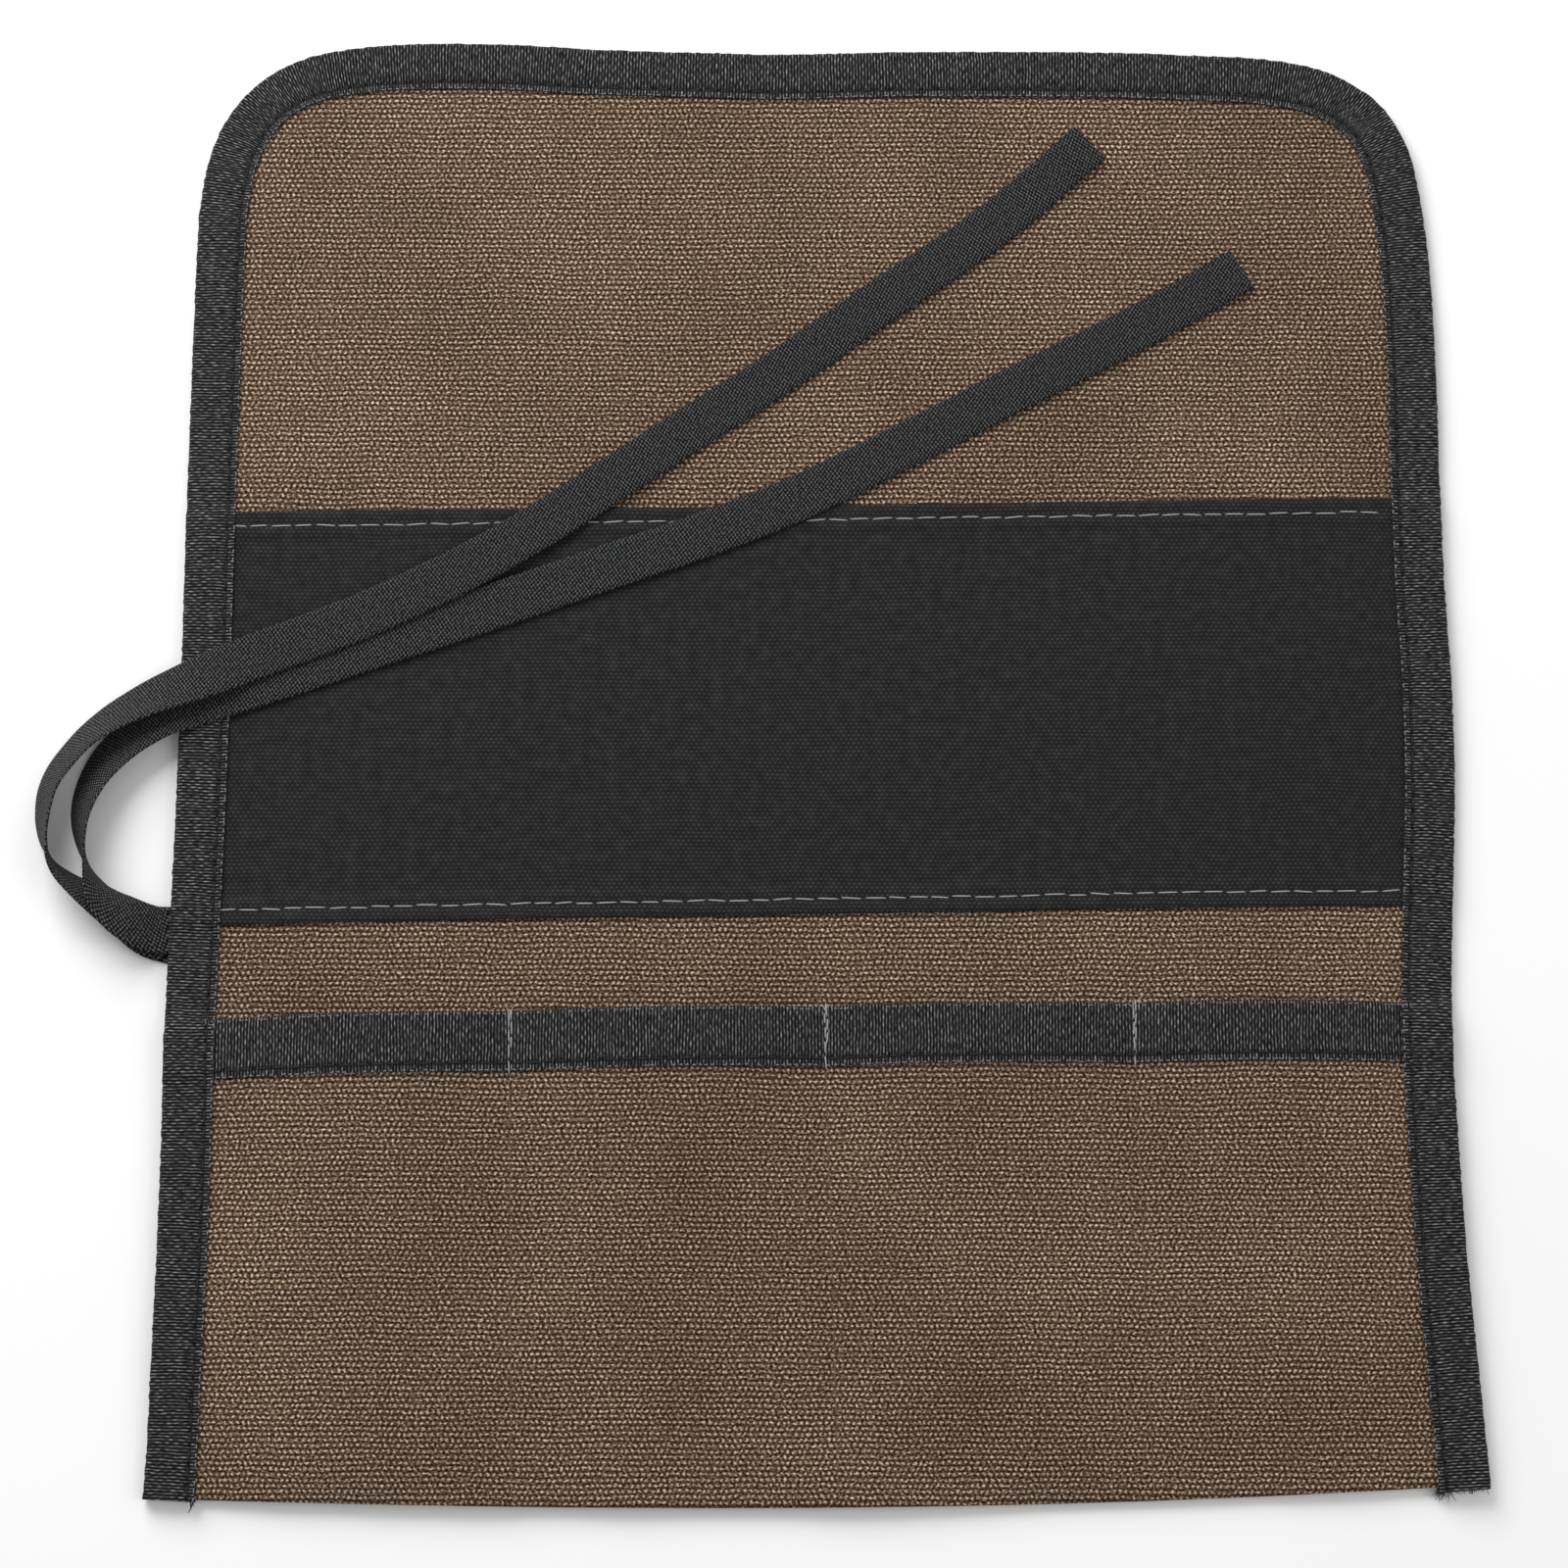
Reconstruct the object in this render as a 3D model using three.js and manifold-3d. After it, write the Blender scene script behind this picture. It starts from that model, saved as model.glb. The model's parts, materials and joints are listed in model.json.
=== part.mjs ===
// A canvas roll for carving tools, lying open: a brown duck-canvas sheet with rounded top corners,
// folded up at the bottom into four pockets, edged with black tape and tied with two black tapes.
// Lengths are in millimetres. +Y runs from the pocket bottoms to the flap, +Z is up, z = 0 is the table.
// The cloth is cut on its fold lines: three that the roll closes on and one that the flap turns down on.

import * as THREE from "three";
import Module from "manifold-3d";
import { mergeVertices } from "three/addons/utils/BufferGeometryUtils.js";

const wasm = await Module();
wasm.setup();

// ---- Driving dimensions ----

// The open sheet, over its edge tape.
const sheetLength = 366;
const bottomWidth = 317.3;
const topWidth = 309.5;
const cornerRadius = 33;
const endBow = 2.4;

// Cloth and tape.
const canvasThickness = 0.8;
const guardThickness = 0.5;
const tapeThickness = 0.5;
const edgeTapeWidth = 12.3;
const mouthTapeWidth = 14.4;
const sewnGap = 0.3;

// Where things lie on the sheet.
const middleSeamX = 2.9;
const pocketWidth = 75.4;
const pocketDepth = 118.3;
const guardBottomY = -40.7;
const guardTopY = 61.5;
const foldLineY = 68;

// The pockets, a little open.
const pocketLift = 4.8;
const pocketRiseWidth = 13;
const pocketToeLength = 26;

// Motion: how far each seam turns, how high the flap turns over the sheet, and the room left between parts.
const rollAngle = 85;
const flapTurnHeight = 3.0;
const cutGap = 0.3;

// The ties.
const tieWidth = 11.6;
const tieThickness = 0.8;
const tieChamfer = 0.2;
const tieSteps = 64;

// Stitching.
const threadWidth = 0.8;
const threadHeight = 0.4;

// ---- Sizes that follow from them ----

const sheetBottom = -sheetLength / 2;
const sheetTop = sheetLength / 2;
const cornerStartY = sheetTop - endBow - cornerRadius;
const seamXs = [-1, 0, 1].map((step) => middleSeamX + step * pocketWidth);
const mouthY = sheetBottom + pocketDepth;

// Layers, from the table up: tape, back canvas, tape inside the mouth, pocket front, tape outside the mouth.
const backZ = tapeThickness + sewnGap;
const backTopZ = backZ + canvasThickness;
const guardZ = backTopZ + sewnGap;
const guardTopZ = guardZ + guardThickness;
const edgeTopZ = backTopZ + sewnGap + tapeThickness;
const innerTapeZ = backTopZ + sewnGap;
const frontZ = innerTapeZ + tapeThickness + sewnGap;
const frontTopZ = frontZ + canvasThickness;
const outerTapeZ = frontTopZ + sewnGap;
const outerTapeTopZ = outerTapeZ + tapeThickness;

// The roll turns on the canvas's upper face, so what lies above that face needs room beside each seam.
const rollAxisZ = backTopZ;
const halfRollTangent = Math.tan(THREE.MathUtils.degToRad(rollAngle / 2));
const seamRoom = (topZ) => Math.max(0, topZ - rollAxisZ) * halfRollTangent + cutGap;
const turnedFlapZ = (z) => 2 * flapTurnHeight - z;

// ---- Materials ----

const cloth = (color, roughness) => new THREE.MeshStandardMaterial({ color, roughness, metalness: 0 });
const canvasMaterial = cloth(0x7d6250, 0.95);
const guardMaterial = cloth(0x282828, 0.8);
const tapeMaterial = cloth(0x37393a, 0.85);
const tieMaterial = cloth(0x303233, 0.85);
const threadMaterial = cloth(0x9b9b98, 0.7);

const roll = new THREE.Group();

function addMesh(name, geometry, material) {
  const mesh = new THREE.Mesh(geometry, material);
  mesh.name = name;
  roll.add(mesh);
}

// ---- Booleans ----

function toSolid(geometry) {
  const bare = new THREE.BufferGeometry();
  bare.setAttribute("position", geometry.getAttribute("position"));
  if (geometry.index) bare.setIndex(geometry.index);
  const merged = mergeVertices(bare, 1e-5);
  return new wasm.Manifold(
    new wasm.Mesh({
      numProp: 3,
      vertProperties: Float32Array.from(merged.getAttribute("position").array),
      triVerts: Uint32Array.from(merged.index.array),
    }),
  );
}

function toGeometry(solid) {
  const { vertProperties, triVerts } = solid.getMesh();
  const geometry = new THREE.BufferGeometry();
  geometry.setAttribute("position", new THREE.BufferAttribute(Float32Array.from(vertProperties), 3));
  geometry.setIndex(new THREE.BufferAttribute(Uint32Array.from(triVerts), 1));
  geometry.computeVertexNormals();
  return geometry;
}

function block(x0, x1, y0, y1, z0, z1) {
  const geometry = new THREE.BoxGeometry(x1 - x0, y1 - y0, z1 - z0);
  return toSolid(geometry.translate((x0 + x1) / 2, (y0 + y1) / 2, (z0 + z1) / 2));
}

// ---- The sheet's outline ----

// Half the width of the open sheet at y: its sides are straight and spread towards the bottom.
function halfWidth(y) {
  const fromBottom = (y - sheetBottom) / (cornerStartY - sheetBottom);
  return THREE.MathUtils.lerp(bottomWidth / 2, topWidth / 2, fromBottom);
}

// The bottom fold bows down by endBow in the middle.
const bottomY = (x) => sheetBottom + endBow * (x / (bottomWidth / 2)) ** 2;

// The outline set in by an inset on its sides and top, with its bottom lowered where a cut has to run out.
function sheetPlate(inset, below, z0, z1) {
  const side = (y) => halfWidth(y) - inset;
  const radius = cornerRadius - inset;
  const cornerX = side(cornerStartY) - radius;
  const cornerTopY = cornerStartY + radius;
  const outline = new THREE.Shape();
  outline.moveTo(side(cornerStartY), cornerStartY);
  outline.absarc(cornerX, cornerStartY, radius, 0, Math.PI / 2, false);
  outline.quadraticCurveTo(0, cornerTopY + 2 * endBow, -cornerX, cornerTopY);
  outline.absarc(-cornerX, cornerStartY, radius, Math.PI / 2, Math.PI, false);
  const endY = sheetBottom + endBow - below;
  outline.lineTo(-side(endY), endY);
  outline.quadraticCurveTo(0, endY - 2 * endBow, side(endY), endY);
  outline.closePath();
  const geometry = new THREE.ExtrudeGeometry(outline, { depth: z1 - z0, bevelEnabled: false, curveSegments: 12 });
  return toSolid(geometry.translate(0, 0, z0));
}

const beyond = 20;
const sideX = bottomWidth / 2 + beyond;
const columnEdges = [-sideX, ...seamXs, sideX];

// The part of a plate that lies in one column, room back from the seams, between two heights on the sheet.
function inColumn(solid, column, room, y0, y1) {
  const x0 = columnEdges[column] + room;
  const x1 = columnEdges[column + 1] - room;
  return solid.intersect(block(x0, x1, y0, y1, -beyond, beyond));
}

const belowFold = [sheetBottom - beyond, foldLineY - cutGap / 2];
const aboveFold = [foldLineY + cutGap / 2, sheetTop + beyond];

// ---- Canvas: the back of the pockets and the flap, one sheet on the real roll ----

const canvasPlate = sheetPlate(tapeThickness + sewnGap, 0, backZ, backTopZ);
const flapRoom = seamRoom(turnedFlapZ(backZ));

for (let column = 0; column < 4; column += 1) {
  const back = inColumn(canvasPlate, column, cutGap / 2, ...belowFold);
  addMesh(`back_canvas_${column + 1}`, toGeometry(back), canvasMaterial);
  const flap = inColumn(canvasPlate, column, flapRoom, ...aboveFold);
  addMesh(`flap_canvas_${column + 1}`, toGeometry(flap), canvasMaterial);
}

// ---- Edge tape: folded over the two sides and the top, with the canvas edge inside it ----

const tapeRing = sheetPlate(0, 0, 0, edgeTopZ)
  .subtract(sheetPlate(edgeTapeWidth, beyond, -beyond, beyond))
  .subtract(sheetPlate(tapeThickness, beyond, tapeThickness, edgeTopZ - tapeThickness));
const flapTapeRoom = seamRoom(turnedFlapZ(0));

addMesh("side_binding_left", toGeometry(inColumn(tapeRing, 0, 0, ...belowFold)), tapeMaterial);
addMesh("side_binding_right", toGeometry(inColumn(tapeRing, 3, 0, ...belowFold)), tapeMaterial);
for (let column = 0; column < 4; column += 1) {
  const edge = inColumn(tapeRing, column, flapTapeRoom, ...aboveFold);
  addMesh(`flap_binding_${column + 1}`, toGeometry(edge), tapeMaterial);
}

// ---- Guard panel: a band of black cloth sewn across the sheet, under the cutting edges ----

const guardPlate = sheetPlate(edgeTapeWidth + sewnGap, beyond, guardZ, guardTopZ);
for (let column = 0; column < 4; column += 1) {
  const panel = inColumn(guardPlate, column, seamRoom(guardTopZ), guardBottomY, guardTopY);
  addMesh(`guard_panel_${column + 1}`, toGeometry(panel), guardMaterial);
}

// ---- Pocket fronts and their taped mouths ----

const ease = (share) => THREE.MathUtils.smoothstep(share, 0, 1);

// How far a pocket's front stands up at (x, y), between its left and right sides.
function pocketRise(x, y, left, right) {
  const fromSide = Math.min(x - left, right - x);
  return pocketLift * ease(fromSide / pocketRiseWidth) * ease((y - bottomY(x)) / pocketToeLength);
}

// The sides of a column's pocket: the seams with the room that the mouth tape needs, or the edge tape.
const pocketRoom = seamRoom(outerTapeTopZ);

function pocketSides(column, y) {
  const tapeSide = halfWidth(y) - edgeTapeWidth - sewnGap;
  const left = column === 0 ? -tapeSide : columnEdges[column] + pocketRoom;
  const right = column === 3 ? tapeSide : columnEdges[column + 1] - pocketRoom;
  return [left, right];
}

// A box of unit size bent to a pocket: across and along run 0 to 1 over the pocket, z is kept.
function bendToPocket(geometry, column, lowY, highY) {
  const position = geometry.getAttribute("position");
  for (let i = 0; i < position.count; i += 1) {
    const across = position.getX(i);
    const along = position.getY(i);
    const [lowLeft, lowRight] = pocketSides(column, sheetBottom);
    const y = THREE.MathUtils.lerp(lowY(THREE.MathUtils.lerp(lowLeft, lowRight, across)), highY, along);
    const [left, right] = pocketSides(column, y);
    const x = THREE.MathUtils.lerp(left, right, across);
    position.setXYZ(i, x, y, position.getZ(i) + pocketRise(x, y, left, right));
  }
  return geometry;
}

const frontTopY = mouthY - tapeThickness - sewnGap;
const mouthLowY = mouthY - mouthTapeWidth;
const acrossSteps = 16;
const alongSteps = 10;

// The mouth tape's section is a U lying on its side, open towards the pocket's bottom.
function mouthSection() {
  const low = innerTapeZ;
  const high = outerTapeTopZ;
  const wall = tapeThickness;
  const turn = 1 - tapeThickness / mouthTapeWidth;
  return new THREE.Shape([
    new THREE.Vector2(0, low),
    new THREE.Vector2(1, low),
    new THREE.Vector2(1, high),
    new THREE.Vector2(0, high),
    new THREE.Vector2(0, high - wall),
    new THREE.Vector2(turn, high - wall),
    new THREE.Vector2(turn, low + wall),
    new THREE.Vector2(0, low + wall),
  ]);
}

for (let column = 0; column < 4; column += 1) {
  const front = new THREE.BoxGeometry(1, 1, canvasThickness, acrossSteps, alongSteps, 1);
  front.translate(0.5, 0.5, frontZ + canvasThickness / 2);
  bendToPocket(front, column, bottomY, frontTopY);
  addMesh(`pocket_front_${column + 1}`, toGeometry(toSolid(front)), canvasMaterial);

  const settings = { depth: 1, steps: acrossSteps, bevelEnabled: false };
  const tape = new THREE.ExtrudeGeometry(mouthSection(), settings);
  const turned = new THREE.Matrix4().makeBasis(
    new THREE.Vector3(0, 1, 0),
    new THREE.Vector3(0, 0, 1),
    new THREE.Vector3(1, 0, 0),
  );
  tape.applyMatrix4(turned);
  bendToPocket(tape, column, () => mouthLowY, mouthY);
  addMesh(`mouth_band_${column + 1}`, toGeometry(toSolid(tape)), tapeMaterial);
}

// ---- Divider seams: one row of thread between each two pockets, beside the fold line ----

const threadOffset = threadWidth / 2 + seamRoom(guardZ + threadHeight);
seamXs.forEach((seamX, index) => {
  const length = mouthY - bottomY(seamX);
  const thread = new THREE.BoxGeometry(threadWidth, length, threadHeight);
  thread.translate(seamX - threadOffset, mouthY - length / 2, guardZ + threadHeight / 2);
  addMesh(`divider_seam_${index + 1}`, thread, threadMaterial);
});

// ---- Ties: two flat tapes sewn into the left edge, looped out and laid back across the sheet ----

// Each row is x, y, z and the tape's turn about its own run, in degrees: 0 is flat, 90 on edge, 180 flat again.
const upperTieRoute = [
  [-158.5, -47.0, 0.5, 0],
  [-160.2, -46.6, 0.7, 2],
  [-163.0, -45.2, 1.4, 10],
  [-166.3, -43.1, 2.8, 24],
  [-170.1, -40.9, 3.6, 37],
  [-174.5, -38.2, 4.6, 50],
  [-178.6, -35.4, 5.3, 61],
  [-182.5, -32.4, 5.7, 72],
  [-185.4, -28.9, 6.0, 87],
  [-186.8, -25.2, 6.0, 101],
  [-187.7, -21.0, 5.7, 111],
  [-187.8, -15.7, 5.4, 119],
  [-186.8, -10.3, 5.2, 124],
  [-184.1, -5.0, 5.0, 128],
  [-179.9, 0.3, 5.0, 130],
  [-173.6, 5.7, 5.4, 136],
  [-165.2, 10.4, 6.2, 146],
  [-156.0, 14.4, 6.3, 160],
  [-146.7, 18.2, 5.6, 173],
  [-132.6, 24.2, 4.3, 180],
  [-115.9, 30.7, 4.2, 180],
  [-99.2, 38.2, 4.2, 180],
  [-80.1, 48.2, 4.2, 180],
  [-58.5, 62.1, 3.5, 180],
  [-34.3, 79.0, 2.4, 180],
  [-7.5, 96.9, 2.3, 180],
  [16.9, 114.3, 2.3, 180],
  [44.3, 134.0, 2.3, 180],
  [69.4, 156.2, 2.3, 180],
];
const lowerTieRoute = [
  [-157.6, -45.3, 1.7, 0],
  [-159.6, -45.3, 2.2, 2],
  [-162.3, -44.8, 3.8, 8],
  [-165.4, -43.6, 5.4, 16],
  [-169.6, -41.0, 6.7, 33],
  [-172.9, -37.2, 7.0, 56],
  [-175.1, -33.2, 6.6, 77],
  [-176.9, -28.8, 6.2, 95],
  [-178.2, -24.1, 5.8, 108],
  [-178.7, -18.4, 5.3, 121],
  [-177.8, -13.0, 4.9, 131],
  [-175.6, -7.6, 4.5, 139],
  [-172.2, -2.6, 4.2, 147],
  [-168.1, 1.5, 4.1, 152],
  [-163.1, 5.2, 4.2, 158],
  [-156.9, 8.7, 4.3, 168],
  [-144.4, 13.1, 3.3, 179],
  [-127.7, 18.8, 3.1, 180],
  [-109.6, 25.0, 3.1, 180],
  [-92.0, 30.9, 3.1, 180],
  [-75.2, 36.7, 3.1, 180],
  [-53.5, 44.5, 3.1, 180],
  [-31.7, 52.2, 3.1, 180],
  [-7.5, 61.7, 3.1, 180],
  [9.5, 70.0, 2.6, 180],
  [24.1, 77.6, 2.3, 180],
  [50.9, 91.7, 2.3, 180],
  [78.0, 106.0, 2.3, 180],
  [107.0, 122.7, 2.3, 180],
];

function tieSection() {
  const x = tieWidth / 2;
  const y = tieThickness / 2;
  const cut = tieChamfer;
  return new THREE.Shape([
    new THREE.Vector2(x, -y + cut),
    new THREE.Vector2(x, y - cut),
    new THREE.Vector2(x - cut, y),
    new THREE.Vector2(-x + cut, y),
    new THREE.Vector2(-x, y - cut),
    new THREE.Vector2(-x, -y + cut),
    new THREE.Vector2(-x + cut, -y),
    new THREE.Vector2(x - cut, -y),
  ]);
}

function tieTape(route) {
  const path = new THREE.CatmullRomCurve3(route.map(([x, y, z]) => new THREE.Vector3(x, y, z)));
  const turns = new THREE.CatmullRomCurve3(route.map((row, i) => new THREE.Vector3(i, row[3], 0)));
  const up = new THREE.Vector3(0, 0, 1);
  path.arcLengthDivisions = 2000;
  path.computeFrenetFrames = (steps) => {
    const frames = { tangents: [], normals: [], binormals: [] };
    for (let i = 0; i <= steps; i += 1) {
      const at = path.getUtoTmapping(i / steps);
      const turn = THREE.MathUtils.degToRad(turns.getPoint(at).y);
      const tangent = path.getTangent(at);
      const flat = new THREE.Vector3().crossVectors(tangent, up).normalize();
      const raised = new THREE.Vector3().crossVectors(flat, tangent).normalize();
      const across = flat.multiplyScalar(Math.cos(turn)).addScaledVector(raised, -Math.sin(turn));
      frames.tangents.push(tangent);
      frames.normals.push(across);
      frames.binormals.push(new THREE.Vector3().crossVectors(tangent, across));
    }
    return frames;
  };
  return new THREE.ExtrudeGeometry(tieSection(), { steps: tieSteps, extrudePath: path, bevelEnabled: false });
}

addMesh("tie_upper", tieTape(upperTieRoute), tieMaterial);
addMesh("tie_lower", tieTape(lowerTieRoute), tieMaterial);

export default roll;
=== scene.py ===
import json
import math
import random

import bpy
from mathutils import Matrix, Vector, noise


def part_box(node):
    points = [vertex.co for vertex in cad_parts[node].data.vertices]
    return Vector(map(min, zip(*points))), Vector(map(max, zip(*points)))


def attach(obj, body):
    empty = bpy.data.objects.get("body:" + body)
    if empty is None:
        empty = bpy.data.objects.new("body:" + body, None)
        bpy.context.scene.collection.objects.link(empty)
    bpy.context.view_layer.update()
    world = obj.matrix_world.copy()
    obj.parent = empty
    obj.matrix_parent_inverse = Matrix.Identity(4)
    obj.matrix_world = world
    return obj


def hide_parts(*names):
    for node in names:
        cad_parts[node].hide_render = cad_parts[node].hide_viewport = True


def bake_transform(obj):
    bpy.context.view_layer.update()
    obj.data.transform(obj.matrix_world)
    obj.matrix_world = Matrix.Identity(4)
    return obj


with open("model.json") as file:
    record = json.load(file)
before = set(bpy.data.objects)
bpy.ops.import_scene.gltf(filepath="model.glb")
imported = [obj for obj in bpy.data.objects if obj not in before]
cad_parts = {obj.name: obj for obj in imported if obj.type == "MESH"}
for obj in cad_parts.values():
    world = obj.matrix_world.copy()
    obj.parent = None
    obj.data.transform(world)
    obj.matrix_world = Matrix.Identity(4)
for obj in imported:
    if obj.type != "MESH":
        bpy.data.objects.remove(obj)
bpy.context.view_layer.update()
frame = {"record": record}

MM = 0.001

# ---- Table, light and camera ----
# The open roll lies flat on a white table under a wide soft light that stands beyond its flap.
# The camera looks down on it, leaning a little towards the pockets.

TABLE_SIZE = 6.0
TABLE_DROP = 0.2 * MM
CAMERA_LEAN = math.radians(12)
CAMERA_DISTANCE = 1.0
CAMERA_LENS = 93.8
CAMERA_AIM = Vector((-7.75 * MM, -8.65 * MM, 0))

bpy.ops.object.select_all(action="DESELECT")
bpy.ops.mesh.primitive_plane_add(size=TABLE_SIZE, location=(0, 0, -TABLE_DROP))
table = bpy.context.object
table.name = "table_top"
bpy.ops.object.transform_apply(location=True, rotation=True, scale=True)
table_paint = bpy.data.materials.new("white_table")
table_paint.use_nodes = True
table_shader = table_paint.node_tree.nodes["Principled BSDF"]
table_shader.inputs["Base Color"].default_value = (0.93, 0.93, 0.93, 1)
table_shader.inputs["Roughness"].default_value = 0.9
table.data.materials.append(table_paint)

world = bpy.data.worlds.new("white_room")
world.use_nodes = True
world.node_tree.nodes["Background"].inputs["Color"].default_value = (1, 1, 1, 1)
world.node_tree.nodes["Background"].inputs["Strength"].default_value = 0.45
bpy.context.scene.world = world
bpy.context.scene.view_settings.view_transform = "Standard"


def hang_softbox(name, place, size, power):
    """A square soft light at a place, turned to face the middle of the sheet."""
    lamp = bpy.data.lights.new(name, "AREA")
    lamp.shape = "SQUARE"
    lamp.size = size
    lamp.energy = power
    holder = bpy.data.objects.new(name, lamp)
    holder.location = place
    holder.rotation_euler = (-Vector(place)).to_track_quat("-Z", "Y").to_euler()
    bpy.context.scene.collection.objects.link(holder)


hang_softbox("softbox_behind_flap", (-0.55, 0.85, 0.75), 0.9, 16.5)
hang_softbox("softbox_right", (1.2, -0.3, 1.3), 1.2, 7)

camera = bpy.data.objects.new("camera", bpy.data.cameras.new("camera"))
camera.data.lens = CAMERA_LENS
camera.data.sensor_width = 36
lean = Vector((0, -math.sin(CAMERA_LEAN), math.cos(CAMERA_LEAN)))
camera.location = CAMERA_AIM + lean * CAMERA_DISTANCE
camera.rotation_euler = (CAMERA_LEAN, 0, 0)
bpy.context.scene.collection.objects.link(camera)
bpy.context.scene.camera = camera

# ---- Where the roll bends ----
# The sheet closes on three seams, and its flap turns down on one line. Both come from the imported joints.

joint_places = {j["name"]: j["pos_m"] for j in frame["record"]["behaviour"]["joints"]}
SEAMS = [joint_places[f"roll_seam_{k}"][0] for k in (1, 2, 3)]
FOLD_Y = joint_places["flap_fold_1"][1]
FOLD_BEND = 4 * MM
FLAP_START = FOLD_Y - FOLD_BEND
FLAP_END = FOLD_Y + FOLD_BEND
# The cloth below the fold is in three lengths, each over one seam, that meet in the middle of a pocket.
MIDDLES = [(SEAMS[0] + SEAMS[1]) / 2, (SEAMS[1] + SEAMS[2]) / 2]


def bend_over_seam(piece):
    """Bakes the piece's place into its mesh; nothing here makes it bend over a seam."""
    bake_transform(piece)


def bend_over_fold(piece):
    """Bakes the piece's place into its mesh; nothing here makes it bend over the fold."""
    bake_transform(piece)


# ---- Ties ----
# Two black tapes, 11.6 mm wide, that come out from under the left edge tape. They loop out on edge, turn
# over and lie back across the sheet, the upper one on the lower. Each ends in a small folded hem.

TIE_WIDTH = 11.6 * MM
TIE_THICKNESS = 0.8 * MM
TIE_STEP = 1.2 * MM
HEM_LENGTH = 8.5 * MM
HEM_RISE = 0.6 * MM
TIE_TUCK = 3.2 * MM
ON_SHEET = -158 * MM
TIE_CLIMB = 14 * MM
UV_UNIT = 100 * MM

# x, y, z in millimetres and the tape's turn about its run in degrees.
UPPER_TIE = [
    (-158.5, -47.0, 0.5, 0), (-160.2, -46.6, 0.7, 2), (-163.0, -45.2, 1.4, 10), (-166.3, -43.1, 2.8, 24),
    (-170.1, -40.9, 3.6, 37), (-174.5, -38.2, 4.6, 50), (-178.6, -35.4, 5.3, 61), (-182.5, -32.4, 5.7, 72),
    (-185.4, -28.9, 6.0, 87), (-186.8, -25.2, 6.0, 101), (-187.7, -21.0, 5.7, 111), (-187.8, -15.7, 5.4, 119),
    (-186.8, -10.3, 5.2, 124), (-184.1, -5.0, 5.0, 128), (-179.9, 0.3, 5.0, 130), (-173.6, 5.7, 5.4, 136),
    (-165.2, 10.4, 6.2, 146), (-156.0, 14.4, 6.3, 160), (-146.7, 18.2, 5.6, 173), (-132.6, 24.2, 4.3, 180),
    (-115.9, 30.7, 4.2, 180), (-99.2, 38.2, 4.2, 180), (-80.1, 48.2, 4.2, 180), (-58.5, 62.1, 3.5, 180),
    (-34.3, 79.0, 2.4, 180), (-7.5, 96.9, 2.3, 180), (16.9, 114.3, 2.3, 180), (44.3, 134.0, 2.3, 180),
    (69.4, 156.2, 2.3, 180),
]
LOWER_TIE = [
    (-157.6, -45.3, 1.7, 0), (-159.6, -45.3, 2.2, 2), (-162.3, -44.8, 3.8, 8), (-165.4, -43.6, 5.4, 16),
    (-169.6, -41.0, 6.7, 33), (-172.9, -37.2, 7.0, 56), (-175.1, -33.2, 6.6, 77), (-176.9, -28.8, 6.2, 95),
    (-178.2, -24.1, 5.8, 108), (-178.7, -18.4, 5.3, 121), (-177.8, -13.0, 4.9, 131), (-175.6, -7.6, 4.5, 139),
    (-172.2, -2.6, 4.2, 147), (-168.1, 1.5, 4.1, 152), (-163.1, 5.2, 4.2, 158), (-156.9, 8.7, 4.3, 168),
    (-144.4, 13.1, 3.3, 179), (-127.7, 18.8, 3.1, 180), (-109.6, 25.0, 3.1, 180), (-92.0, 30.9, 3.1, 180),
    (-75.2, 36.7, 3.1, 180), (-53.5, 44.5, 3.1, 180), (-31.7, 52.2, 3.1, 180), (-7.5, 61.7, 3.1, 180),
    (9.5, 70.0, 2.6, 180), (24.1, 77.6, 2.3, 180), (50.9, 91.7, 2.3, 180), (78.0, 106.0, 2.3, 180),
    (107.0, 122.7, 2.3, 180),
]


def ease(share):
    """Goes smoothly from 0 to 1 as share does."""
    share = min(max(share, 0), 1)
    return share * share * (3 - 2 * share)


# The turned flap and the sheet below it share this much height for their waves.
TURNED_ROOM = 1.5 * MM
FLAP_REACH = 115 * MM
FLAP_FADE = 12 * MM


def free_waves(x, y):
    """Low broad waves and small creases, where nothing lies over the cloth."""
    broad = noise.noise(Vector((x * 10 + 3.1, y * 8 + 1.7, 0.4)))
    slanting = noise.noise(Vector((x * 24 + y * 13, y * 9 - x * 4, 7.3)))
    small = noise.noise(Vector((x * 46 - y * 17, y * 21 + x * 12, 2.9)))
    return max(0, 0.75 + 1.5 * broad + 1.2 * slanting + 0.45 * small) * MM


def waves(x, y):
    """How far the cloth lifts off flat. Where the flap turns down, the two layers share the room."""
    here = free_waves(x, y)
    both = here + free_waves(x, 2 * FOLD_Y - y)
    covered = ease((FLAP_REACH - abs(y - FOLD_Y)) / FLAP_FADE)
    shared = min(1, TURNED_ROOM / both) if both > 0 else 1
    return here * (1 + (shared - 1) * covered)


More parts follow.
